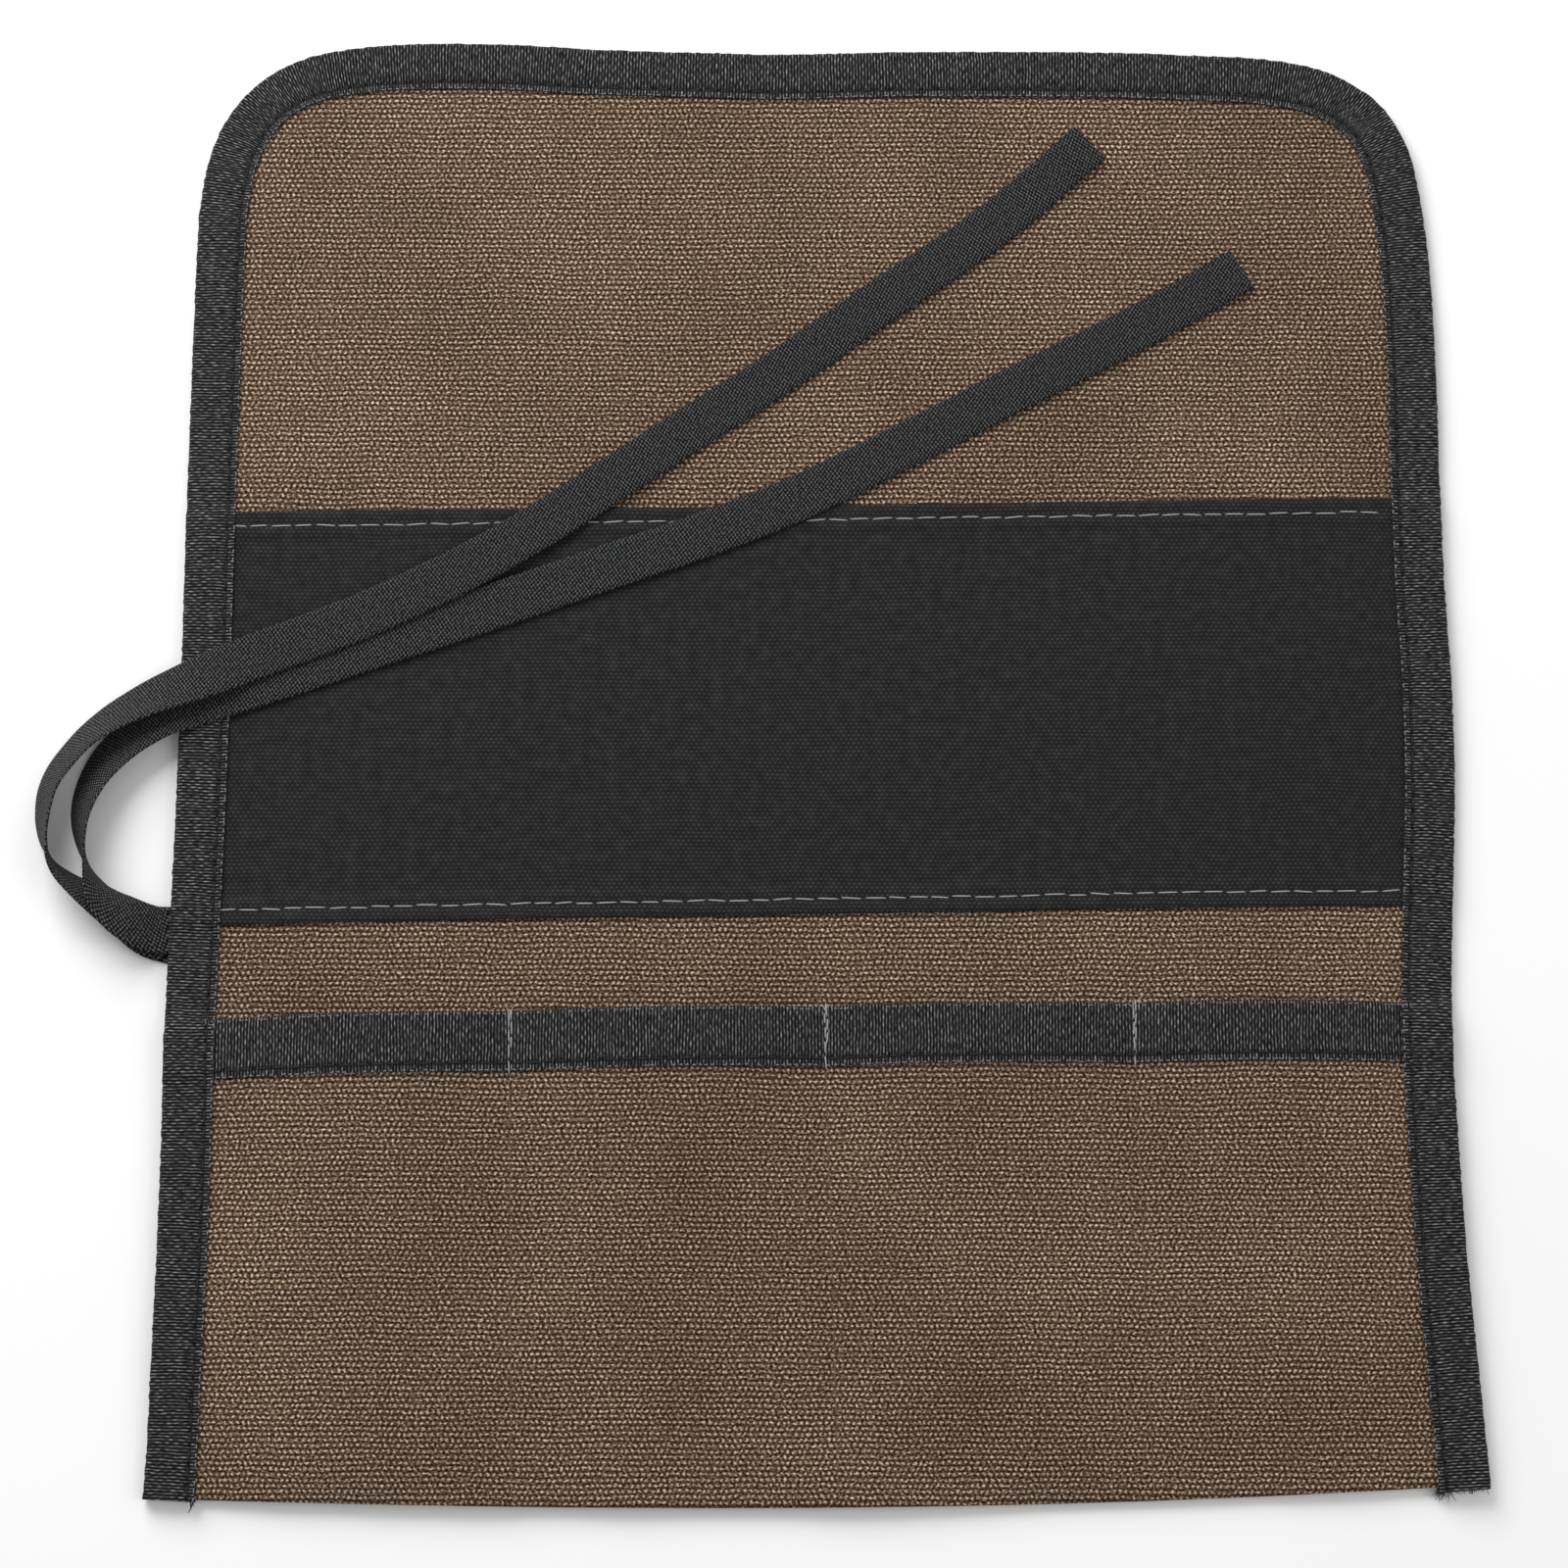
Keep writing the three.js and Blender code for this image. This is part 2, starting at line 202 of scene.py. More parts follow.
def smooth_line(rows, step):
    """Evenly spaced points on a smooth curve through the rows. The rows' first three numbers are a place."""
    rows = [Vector(row) for row in rows]
    rows = [rows[0] * 2 - rows[1]] + rows + [rows[-1] * 2 - rows[-2]]
    fine = []
    for a, b, c, d in zip(rows, rows[1:], rows[2:], rows[3:]):
        knots = [0.0]
        for p, q in ((a, b), (b, c), (c, d)):
            knots.append(knots[-1] + max((q - p).length, 1e-6) ** 0.5)
        for i in range(12):
            t = knots[1] + (knots[2] - knots[1]) * i / 12
            ab = a.lerp(b, (t - knots[0]) / (knots[1] - knots[0]))
            bc = b.lerp(c, (t - knots[1]) / (knots[2] - knots[1]))
            cd = c.lerp(d, (t - knots[2]) / (knots[3] - knots[2]))
            abc = ab.lerp(bc, (t - knots[0]) / (knots[2] - knots[0]))
            bcd = bc.lerp(cd, (t - knots[1]) / (knots[3] - knots[1]))
            fine.append(abc.lerp(bcd, (t - knots[1]) / (knots[2] - knots[1])))
    fine.append(rows[-2])
    lengths = [0.0]
    for p, q in zip(fine, fine[1:]):
        lengths.append(lengths[-1] + (q.xyz - p.xyz).length)
    count = max(2, round(lengths[-1] / step))
    line, at = [], 0
    for i in range(count + 1):
        reach = lengths[-1] * i / count
        while at < len(fine) - 2 and lengths[at + 1] < reach:
            at += 1
        share = (reach - lengths[at]) / max(lengths[at + 1] - lengths[at], 1e-9)
        line.append(fine[at].lerp(fine[at + 1], min(share, 1)))
    return line


def new_piece(name, vertices, faces, uvs, material):
    """A mesh piece with a UV map given for each vertex."""
    mesh = bpy.data.meshes.new(name)
    mesh.from_pydata(vertices, [], faces)
    layer = mesh.uv_layers.new(name="UVMap")
    for loop in mesh.loops:
        layer.data[loop.index].uv = uvs[loop.vertex_index]
    mesh.materials.append(material)
    piece = bpy.data.objects.new(name, mesh)
    bpy.context.scene.collection.objects.link(piece)
    return piece


def only(piece):
    """Selects one piece and makes it active."""
    bpy.ops.object.select_all(action="DESELECT")
    piece.select_set(True)
    bpy.context.view_layer.objects.active = piece


def face_outwards(piece):
    only(piece)
    bpy.ops.object.mode_set(mode="EDIT")
    bpy.ops.mesh.select_all(action="SELECT")
    bpy.ops.mesh.normals_make_consistent(inside=False)
    bpy.ops.object.mode_set(mode="OBJECT")


def tie_section(hem):
    """The tape's outline across its run: flat, with round edges and a slightly hollow back."""
    half, thick = TIE_WIDTH / 2, TIE_THICKNESS / 2
    top = [(-0.97, 0.55), (-0.9, 0.9), (-0.6, 1.0), (-0.3, 0.95), (0, 0.92)]
    top += [(-x, z) for x, z in reversed(top[:-1])]
    bottom = [(x, -z) for x, z in reversed(top)]
    rise = hem * HEM_RISE
    return [(x * half, z * thick + rise) for x, z in [(-1, 0)] + top] + [(half, 0)] + [
        (x * half, z * thick) for x, z in bottom]


def weave_tie(name, rows, material):
    """Sweeps the tape along its route. Returns the piece and the points of its middle line."""
    line = smooth_line([(x * MM, y * MM, z * MM, math.radians(turn)) for x, y, z, turn in rows], TIE_STEP)
    for spot in line:
        spot.z += waves(spot.x, spot.y) * ease((spot.x - ON_SHEET) / TIE_CLIMB)
    route = [spot.xyz for spot in line]
    tucked = line[0] * 2 - line[1]
    tucked.xyz = line[0].xyz + (line[0].xyz - line[1].xyz).normalized() * TIE_TUCK
    line = [tucked] + line
    vertices, faces, uvs = [], [], []
    total = TIE_STEP * (len(line) - 1)
    around = len(tie_section(0))
    for i, spot in enumerate(line):
        ahead = line[min(i + 1, len(line) - 1)].xyz - line[max(i - 1, 0)].xyz
        run = ahead.normalized()
        flat = run.cross(Vector((0, 0, 1))).normalized()
        raised = flat.cross(run).normalized()
        across = flat * math.cos(spot.w) - raised * math.sin(spot.w)
        out = run.cross(across)
        if abs(spot.w) > math.pi / 2:
            hem = min(1, max(0, (i * TIE_STEP - total + HEM_LENGTH) / (0.5 * MM)))
        else:
            hem = 0
        for x, z in tie_section(hem):
            # The tape is turned over on the sheet, so its outer side faces up there.
            vertices.append(spot.xyz + across * x + out * z)
            uvs.append((x / UV_UNIT, i * TIE_STEP / UV_UNIT))
    for i in range(len(line) - 1):
        for k in range(around):
            a, b = i * around + k, i * around + (k + 1) % around
            faces.append((a, b, b + around, a + around))
    faces.append(tuple(reversed(range(around))))
    last = (len(line) - 1) * around
    faces.append(tuple(last + k for k in range(around)))
    piece = new_piece(name, vertices, faces, uvs, material)
    face_outwards(piece)
    return piece, route


def cut_at(piece, name, low=None, high=None):
    """A copy of the piece, cut square to X at low and high, with its ends closed."""
    part = piece.copy()
    part.data = piece.data.copy()
    part.name = name
    part.data.name = name
    bpy.context.scene.collection.objects.link(part)
    only(part)
    bpy.ops.object.mode_set(mode="EDIT")
    if low is not None:
        bpy.ops.mesh.select_all(action="SELECT")
        bpy.ops.mesh.bisect(plane_co=(low, 0, 0), plane_no=(1, 0, 0), use_fill=True, clear_inner=True)
    if high is not None:
        bpy.ops.mesh.select_all(action="SELECT")
        bpy.ops.mesh.bisect(plane_co=(high, 0, 0), plane_no=(1, 0, 0), use_fill=True, clear_outer=True)
    bpy.ops.object.mode_set(mode="OBJECT")
    bpy.ops.object.shade_smooth_by_angle(angle=math.radians(50))
    return part


def wire(tree, kind, inputs=(), **settings):
    """Adds a shader node, sets it and joins its inputs. Returns its first output."""
    made = tree.nodes.new(kind)
    for key, value in settings.items():
        setattr(made, key, value)
    for key, value in dict(inputs).items():
        if isinstance(value, bpy.types.NodeSocket):
            tree.links.new(value, made.inputs[key])
        else:
            made.inputs[key].default_value = value
    return made.outputs[0]


def sums(tree, operation, a, b=0.0, c=None):
    """One step of arithmetic in a shader."""
    inputs = {0: a, 1: b}
    if c is not None:
        inputs[2] = c
    return wire(tree, "ShaderNodeMath", inputs, operation=operation)


def blended(tree, factor, a, b, mode="MIX"):
    """Two colours mixed by a factor."""
    made = tree.nodes.new("ShaderNodeMix")
    made.data_type = "RGBA"
    made.blend_type = mode
    for key, value in ((0, factor), (6, a), (7, b)):
        if isinstance(value, bpy.types.NodeSocket):
            tree.links.new(value, made.inputs[key])
        else:
            made.inputs[key].default_value = value
    return made.outputs[2]


def ramp(tree, value, stops):
    """A colour ramp with stops of (place, colour)."""
    made = tree.nodes.new("ShaderNodeValToRGB")
    tree.links.new(value, made.inputs[0])
    steps = made.color_ramp.elements
    while len(steps) < len(stops):
        steps.new(0.5)
    for step, (place, colour) in zip(steps, stops):
        step.position = place
        step.color = (*colour, 1)
    return made.outputs[0]


def cloth_map(tree):
    """The UV map in millimetres: its vector, x and y."""
    uv = wire(tree, "ShaderNodeUVMap", uv_map="UVMap")
    scaled = wire(tree, "ShaderNodeVectorMath", {0: uv, 1: (100, 100, 100)}, operation="MULTIPLY")
    split = tree.nodes.new("ShaderNodeSeparateXYZ")
    tree.links.new(scaled, split.inputs[0])
    return scaled, split.outputs[0], split.outputs[1]


def patches(tree, vector, scale, stretch=(1, 1, 1), detail=2.0):
    """Soft noise over the cloth, with its grain stretched along x or y."""
    shaped = wire(tree, "ShaderNodeVectorMath", {0: vector, 1: stretch}, operation="MULTIPLY")
    return wire(tree, "ShaderNodeTexNoise", {"Vector": shaped, "Scale": scale, "Detail": detail})


def checks(tree, x, y, half_x, half_y):
    """Threads that pass over and under: 1 at the tops of one set, -1 at the tops of the other."""
    across = sums(tree, "COSINE", sums(tree, "MULTIPLY", x, math.pi / half_x))
    along = sums(tree, "COSINE", sums(tree, "MULTIPLY", y, math.pi / half_y))
    return sums(tree, "MULTIPLY", across, along)


def finish_cloth(material, colour, height, bump_mm, bump_strength, roughness, sheen):
    """Joins a cloth's colour and thread height to its shader."""
    tree = material.node_tree
    shader = tree.nodes["Principled BSDF"]
    bump = tree.nodes.new("ShaderNodeBump")
    bump.inputs["Strength"].default_value = bump_strength
    bump.inputs["Distance"].default_value = bump_mm * MM
    tree.links.new(height, bump.inputs["Height"])
    tree.links.new(bump.outputs[0], shader.inputs["Normal"])
    tree.links.new(colour, shader.inputs["Base Color"])
    shader.inputs["Roughness"].default_value = roughness
    shader.inputs["Specular IOR Level"].default_value = 0.12
    shader.inputs["Sheen Weight"].default_value = sheen
    shader.inputs["Sheen Roughness"].default_value = 0.5


def new_cloth(name):
    material = bpy.data.materials.new(name)
    material.use_nodes = True
    return material, material.node_tree


# Twill tape: short slanting threads that show light tops on a near-black ground.
TWILL_TILT = math.radians(24)
tie_tape, tree = new_cloth("tie_twill_tape")
spot, x, y = cloth_map(tree)
level, steep = math.cos(TWILL_TILT), math.sin(TWILL_TILT)
slant = sums(tree, "ADD", sums(tree, "MULTIPLY", x, level), sums(tree, "MULTIPLY", y, steep))
climb = sums(tree, "SUBTRACT", sums(tree, "MULTIPLY", y, level), sums(tree, "MULTIPLY", x, steep))
threads = checks(tree, slant, climb, 0.66, 0.5)
grain = patches(tree, spot, 1.7, detail=4)
tops = sums(tree, "MULTIPLY_ADD", threads, 0.5, 0.5)
tops = sums(tree, "ADD", tops, sums(tree, "MULTIPLY_ADD", grain, 1.6, -0.8))
colour = ramp(tree, tops, [
    (0.14, (0.001, 0.001, 0.001)), (0.5, (0.0105, 0.0107, 0.011)), (0.95, (0.115, 0.117, 0.119)),
])
finish_cloth(tie_tape, colour, tops, 0.3, 0.8, 0.85, 0.03)

upper_tie, upper_line = weave_tie("upper_tie", UPPER_TIE, tie_tape)
lower_tie, lower_line = weave_tie("lower_tie", LOWER_TIE, tie_tape)
BREAK_UPPER = SEAMS[0] + 11 * MM
BREAK_LOWER = SEAMS[0] + 7.5 * MM


def declare_tie(node):
    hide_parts(node)


for name, tie, line, cut in (("tie_upper", upper_tie, upper_line, BREAK_UPPER),
                             ("tie_lower", lower_tie, lower_line, BREAK_LOWER)):
    part = cut_at(tie, f"{name}_loop", high=cut)
    bend_over_seam(part)
    declare_tie(name)
    part = cut_at(tie, f"{name}_middle", cut, SEAMS[1])
    bend_over_fold(part)
    declare_tie(name)
    if name == "tie_upper":
        part = cut_at(tie, "tie_upper_end", low=SEAMS[1])
        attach(part, "flap_3")
        declare_tie(name)
    else:
        tip = cut_at(tie, "tie_lower_tip", low=SEAMS[2])
        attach(tip, "flap_4")
        part = cut_at(tie, "tie_lower_end", SEAMS[1], SEAMS[2])
        bend_over_fold(part)
        declare_tie(name)
    bpy.data.objects.remove(tie)

# ---- Canvas sheet ----
# One piece of brown duck canvas, 0.8 mm thick, that lies in a few low waves. Its bottom end is folded
# up for the pockets. It is modelled in lengths that meet where the roll bends.

CANVAS = 0.8 * MM
BACK_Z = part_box("back_canvas_1")[0][2] + CANVAS / 2
POCKET_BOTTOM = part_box("pocket_front_2")[0][1]
SIDE_INSET = 153 * MM
CLOTH_STEP = 2.6 * MM

# The outer edge of the edge tape, in millimetres, from the bottom left corner round to the bottom right.
EDGE_OUTLINE = [
    (-158.9, -181.3), (-158.4, -172), (-157.9, -150), (-157.3, -120), (-157.1, -95), (-157.2, -70),
    (-156.8, -49), (-156.2, -20), (-155.9, 10), (-155.8, 40), (-155.8, 70), (-155.6, 100), (-155.3, 125),
    (-154.6, 142), (-151.0, 158), (-142.5, 171), (-130.5, 178.6), (-116, 181.9), (-99, 183.0), (-80, 182.9),
    (-55, 181.6), (-30, 180.7), (-8, 180.3), (30, 180.8), (69, 181.0), (94, 180.2), (117, 178.6),
    (131.0, 175.0), (142.5, 167.3), (149.3, 156.3), (152.3, 142.5), (154.2, 125), (155.0, 100), (155.0, 70),
    (155.3, 40), (156.2, 15), (156.1, -10), (154.6, -40), (153.4, -70), (153.9, -95), (155.1, -125),
    (156.8, -150), (158.2, -170), (158.8, -178.9),
]
OUTLINE_STEP = 1.0 * MM
outline = smooth_line([(x * MM, y * MM, 0) for x, y in EDGE_OUTLINE], OUTLINE_STEP)


def inward_at(i):
    """The level direction into the sheet, square to its outline."""
    ahead = (outline[min(i + 1, len(outline) - 1)] - outline[max(i - 1, 0)]).normalized()
    return Vector((ahead.y, -ahead.x, 0))


def top_edge(x):
    """How far up the sheet reaches at x, inside its edge tape."""
    inset = 3 * MM
    reach = [spot for spot in outline if spot.y > FOLD_Y and abs(spot.x - x) < 3 * MM]
    if not reach:
        return FLAP_END
    near = sorted(reach, key=lambda spot: abs(spot.x - x))[:2]
    return sum(spot.y for spot in near) / len(near) - inset


def lay_cloth(name, place, x_ends, v_ends, steps, thickness, material, cloth_uv=None):
    """A sheet over x from end to end and v from v_ends(x). place(x, v) is its middle surface.
    Its normals come from that surface, so lengths that meet show no line."""
    columns, rows = steps
    bpy.ops.object.select_all(action="DESELECT")
    bpy.ops.mesh.primitive_grid_add(x_subdivisions=columns, y_subdivisions=rows, size=1)
    piece = bpy.context.object
    piece.name = name
    mesh = piece.data
    mesh.name = name
    spots, normals = [], []
    nudge = 0.2 * MM
    for vertex in mesh.vertices:
        x = x_ends[0] + (x_ends[1] - x_ends[0]) * (vertex.co.x + 0.5)
        low, high = v_ends(x)
        v = low + (high - low) * (vertex.co.y + 0.5)
        across = Vector(place(x + nudge, v)) - Vector(place(x - nudge, v))
        along = Vector(place(x, v + nudge)) - Vector(place(x, v - nudge))
        spots.append((x, v))
        normals.append(across.cross(along).normalized())
        vertex.co = place(x, v)
    layer = mesh.uv_layers.active
    layer.name = "UVMap"
    for loop in mesh.loops:
        x, v = spots[loop.vertex_index]
        x, v = cloth_uv(x, v) if cloth_uv else (x, v)
        layer.data[loop.index].uv = (x / UV_UNIT, v / UV_UNIT)
    count = len(normals)
    wall = piece.modifiers.new("thickness", "SOLIDIFY")
    wall.thickness = thickness
    wall.offset = 0
    wall.use_even_offset = False
    bpy.ops.object.modifier_apply(modifier=wall.name)
    mesh = piece.data
    loop_normals = [None] * len(mesh.loops)
    for face in mesh.polygons:
        for index in face.loop_indices:
            smooth = normals[mesh.loops[index].vertex_index % count]
            side = face.normal.dot(smooth)
            if abs(side) < 0.5:
                loop_normals[index] = face.normal.copy()
            else:
                loop_normals[index] = smooth if side > 0 else -smooth
    for face in mesh.polygons:
        face.use_smooth = True
    mesh.normals_split_custom_set(loop_normals)
    mesh.materials.append(material)
    return piece


# Brown duck: light thread tops in staggered rows, brown cross threads and dark gaps between them.
canvas, tree = new_cloth("brown_duck_canvas")
spot, x, y = cloth_map(tree)
drift = patches(tree, spot, 0.05)
x = sums(tree, "ADD", x, sums(tree, "MULTIPLY_ADD", drift, 1.6, -0.8))
y = sums(tree, "ADD", y, sums(tree, "MULTIPLY_ADD", patches(tree, spot, 0.07), 1.2, -0.6))
x = sums(tree, "ADD", x, sums(tree, "MULTIPLY_ADD", patches(tree, spot, 0.6, (0.5, 1.4, 1), 2), 1.5, -0.75))
y = sums(tree, "ADD", y, sums(tree, "MULTIPLY_ADD", patches(tree, spot, 0.5, (1, 0.7, 1), 1), 0.6, -0.3))
threads = checks(tree, x, y, 0.68, 1.33)
rows = sums(tree, "COSINE", sums(tree, "MULTIPLY", y, 2 * math.pi / 1.33))
fuzz = patches(tree, spot, 1.9, (0.8, 1.1, 1), 4)
tops = sums(tree, "MULTIPLY_ADD", threads, 0.21, 0.49)
tops = sums(tree, "ADD", tops, sums(tree, "MULTIPLY", rows, 0.16))
tops = sums(tree, "ADD", tops, sums(tree, "MULTIPLY_ADD", fuzz, 1.7, -0.85))
colour = ramp(tree, tops, [
    (0.12, (0.009, 0.0035, 0.001)), (0.32, (0.039, 0.021, 0.011)), (0.50, (0.115, 0.072, 0.045)),
    (0.71, (0.275, 0.190, 0.133)), (0.90, (0.68, 0.52, 0.405)),
])
picks = patches(tree, spot, 0.45, (0.08, 1.7, 1))
picks = ramp(tree, picks, [(0.3, (0.90, 0.89, 0.88)), (0.7, (1.08, 1.08, 1.08))])
colour = blended(tree, 1.0, colour, picks, "MULTIPLY")
ends = patches(tree, spot, 0.45, (1.6, 0.05, 1))
ends = ramp(tree, ends, [(0.3, (0.93, 0.92, 0.91)), (0.7, (1.06, 1.06, 1.06))])
colour = blended(tree, 1.0, colour, ends, "MULTIPLY")
# Painted shade and light: large soft patches, lighter and darker, multiplied into the colour in place of the
# broad shading of the cloth's low folds.
painted_broad_shading = ramp(tree, patches(tree, spot, 0.02, detail=3), [(0.3, (0.84, 0.83, 0.81)), (0.7, (1.13, 1.13, 1.13))])
colour = blended(tree, 1.0, colour, painted_broad_shading, "MULTIPLY")
finish_cloth(canvas, colour, tops, 0.32, 0.7, 0.95, 0.05)

LOWEST_X = -20 * MM
BOW_LEFT = 0.12
BOW_RIGHT = 0.175


def back_surface(x, y):
    return (x, y, BACK_Z + waves(x, y))


def bottom_edge(x):
    """The bottom fold bows down a little left of the middle and climbs more to the right."""
    bow = BOW_RIGHT if x > LOWEST_X else BOW_LEFT
    return POCKET_BOTTOM + bow * (x - LOWEST_X) ** 2


def cloth_steps(width, length, step=CLOTH_STEP):
    return max(2, round(width / step)), max(2, round(length / step))


def lengths_between(left, right):
    """Where the three lengths of cloth below the fold start and end."""
    return [(left, MIDDLES[0]), (MIDDLES[0], MIDDLES[1]), (MIDDLES[1], right)]


def stand_for(node, seam):
    """The length over the last seam stands for the cloth of two columns."""
    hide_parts(f"{node}_{seam + 1}")
    if seam == 2:
        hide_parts(f"{node}_4")


SPANS = lengths_between(-SIDE_INSET, SIDE_INSET)
PLACES = ["left", "middle", "right"]
FOLD_RADIUS = 0.85 * MM

for seam, (x0, x1) in enumerate(SPANS):
    steps = cloth_steps(x1 - x0, FLAP_START - POCKET_BOTTOM)
    piece = lay_cloth(f"canvas_back_{PLACES[seam]}", back_surface, (x0, x1),
                      lambda x: (bottom_edge(x) + FOLD_RADIUS, FLAP_START), steps, CANVAS, canvas)
    bend_over_seam(piece)
    stand_for("back_canvas", seam)

column_ends = [-SIDE_INSET, *SEAMS, SIDE_INSET]
for column in (1, 2, 3, 4):
    x0, x1 = column_ends[column - 1], column_ends[column]
    steps = cloth_steps(x1 - x0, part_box("flap_canvas_1")[1][1] - FLAP_START)
    piece = lay_cloth(f"canvas_flap_{column}", back_surface, (x0, x1),
                      lambda x: (FLAP_START, top_edge(x)), steps, CANVAS, canvas)
    bend_over_fold(piece)
    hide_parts(f"flap_canvas_{column}")

# ---- Guard panel ----
# A band of black oxford cloth sewn across the sheet, which keeps cutting edges off the canvas.
# Its top and bottom edges are turned under, and it was sewn on a little out of square.

GUARD = 0.5 * MM
GUARD_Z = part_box("guard_panel_1")[0][2]
GUARD_SIDE = 147 * MM


def guard_bottom(x):
    return (-41.4 + 2.6 * x / (150 * MM) - 0.5 * (x / (150 * MM)) ** 2) * MM


def guard_top(x):
    return (61.4 + 1.9 * x / (150 * MM)) * MM


def guard_surface(x, y):
    """The panel lies on the canvas, a little thicker over its turned hems."""
    from_edge = min(guard_top(x) - y, y - guard_bottom(x))
    hem = 0.35 * MM * ease((7 * MM - from_edge) / (1.5 * MM)) * ease((from_edge + 0.4 * MM) / (0.8 * MM))
    dip = -0.3 * MM * math.exp(-((from_edge - 3.7 * MM) / (0.9 * MM)) ** 2)
    puff = noise.noise(Vector((x * 30, y * 22, 2.2))) * 0.25 * MM
    return (x, y, GUARD_Z + waves(x, y) + hem + dip + puff * ease(from_edge / (12 * MM)))


oxford, tree = new_cloth("black_oxford_cloth")
spot, x, y = cloth_map(tree)
y = sums(tree, "ADD", y, sums(tree, "MULTIPLY_ADD", patches(tree, spot, 0.04), 1.4, -0.7))
threads = checks(tree, x, y, 0.62, 0.97)
ribs = sums(tree, "COSINE", sums(tree, "MULTIPLY", y, 2 * math.pi / 0.97))
mottle = patches(tree, spot, 0.35, detail=3)
tops = sums(tree, "MULTIPLY_ADD", threads, 0.22, 0.5)
tops = sums(tree, "ADD", tops, sums(tree, "MULTIPLY", ribs, 0.16))
tops = sums(tree, "ADD", tops, sums(tree, "MULTIPLY_ADD", mottle, 0.6, -0.3))
colour = ramp(tree, tops, [
    (0.1, (0.005, 0.005, 0.005)), (0.5, (0.0135, 0.0135, 0.0137)), (0.95, (0.044, 0.044, 0.044)),
])
finish_cloth(oxford, colour, tops, 0.16, 0.5, 0.8, 0.03)

for seam, (x0, x1) in enumerate(lengths_between(-GUARD_SIDE, GUARD_SIDE)):
    length = guard_top(0) - guard_bottom(0)
    steps = cloth_steps(x1 - x0, length, 1.3 * MM)
    piece = lay_cloth(f"guard_cloth_{PLACES[seam]}", guard_surface, (x0, x1),
                      lambda x: (guard_bottom(x), guard_top(x)), steps, GUARD, oxford)
    bend_over_seam(piece)
    stand_for("guard_panel", seam)

# ---- Pocket fronts ----
# The bottom of the canvas, folded up over the back and sewn down on three lines into four pockets.
# The empty pockets stand a few millimetres open at their mouths and close down to the bottom fold.

MOUTH_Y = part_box("mouth_band_1")[1][1]
BAND_WIDTH = MOUTH_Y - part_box("mouth_band_1")[0][1]
FRONT_DOWN = BACK_Z + CANVAS + 0.1 * MM
POCKET_RISE = 4.2 * MM
UNDER_TAPE = 12.9 * MM
SEAM_TOPS = [SEAMS[0] - 1.5 * MM, SEAMS[1] - 0.95 * MM, SEAMS[2] - 1.95 * MM]
SEAM_BOTTOMS = [SEAMS[0] + 0.7 * MM, SEAMS[1] + 2.3 * MM, SEAMS[2] + 1.2 * MM]


def mouth_line(x):
    """The taped mouth runs a little uphill to the right."""
    return MOUTH_Y + (0.4 + 2.2 * x / (150 * MM) - 1.2 * (x / (150 * MM)) ** 2) * MM


def divider_x(seam, y):
    """Each line of divider stitches slants a little."""
    down = (MOUTH_Y - y) / (MOUTH_Y - POCKET_BOTTOM)
    return SEAM_TOPS[seam] + (SEAM_BOTTOMS[seam] - SEAM_TOPS[seam]) * down


def inner_edge(y, right):
    """Where the edge tape's inner edge lies at a height, on the left or on the right."""
    near = min((spot for spot in outline if (spot.x > 0) == right), key=lambda spot: abs(spot.y - y))
    return near.x - UNDER_TAPE if right else near.x + UNDER_TAPE


TAPED_EDGES = {row: (inner_edge(row * MM, False), inner_edge(row * MM, True)) for row in range(-184, 0)}


def puff(x, y):
    """How far a pocket's front stands off the back at a place."""
    left_edge, right_edge = TAPED_EDGES[min(max(round(y / MM), -184), -1)]
    sides = [left_edge] + [divider_x(seam, y) for seam in range(3)] + [right_edge]
    for left, right in zip(sides, sides[1:]):
        if left <= x < right:
            share = (x - left) / (right - left)
            arch = math.sin(math.pi * share) ** 0.85
            climb = ease((y - bottom_edge(x)) / (34 * MM)) * 0.62
            climb += ease((y - MOUTH_Y + 46 * MM) / (46 * MM)) * 0.38
            return POCKET_RISE * arch * climb
    return 0.0


def front_height(x, y):
    crease = noise.noise(Vector((x * 34, y * 15, 5.1))) * 0.22 * MM
    return FRONT_DOWN + waves(x, y) + puff(x, y) + crease * ease((y - bottom_edge(x)) / (8 * MM))


def front_surface(x, v):
    """v runs round the bottom fold from the back, and then up the front."""
    low = bottom_edge(x)
    turn = math.pi * FOLD_RADIUS
    start = low + FOLD_RADIUS
    back = BACK_Z + waves(x, start)
    front = front_height(x, start)
    if v < start:
        angle = (v - start) / turn * math.pi
        middle, radius = (back + front) / 2, (front - back) / 2
        return (x, start + FOLD_RADIUS * math.sin(angle), middle + radius * math.cos(angle))
    return (x, v, front_height(x, v))


for seam, (x0, x1) in enumerate(SPANS):
    turn = math.pi * FOLD_RADIUS
    length = MOUTH_Y - POCKET_BOTTOM
    columns, rows = cloth_steps(x1 - x0, length, 1.5 * MM)
    piece = lay_cloth(f"canvas_pocket_front_{PLACES[seam]}", front_surface, (x0, x1),
                      lambda x: (bottom_edge(x) + FOLD_RADIUS - turn, mouth_line(x) - 1.2 * MM),
                      (columns, rows), CANVAS, canvas)
    bend_over_seam(piece)
    stand_for("pocket_front", seam)

# ---- Tape over the pocket mouths ----
# Black ribbed tape folded over the top edge of the pocket fronts, so both its faces are taped.

TAPE = 0.5 * MM
BAND_STANDS = CANVAS / 2 + 0.2 * MM + TAPE / 2


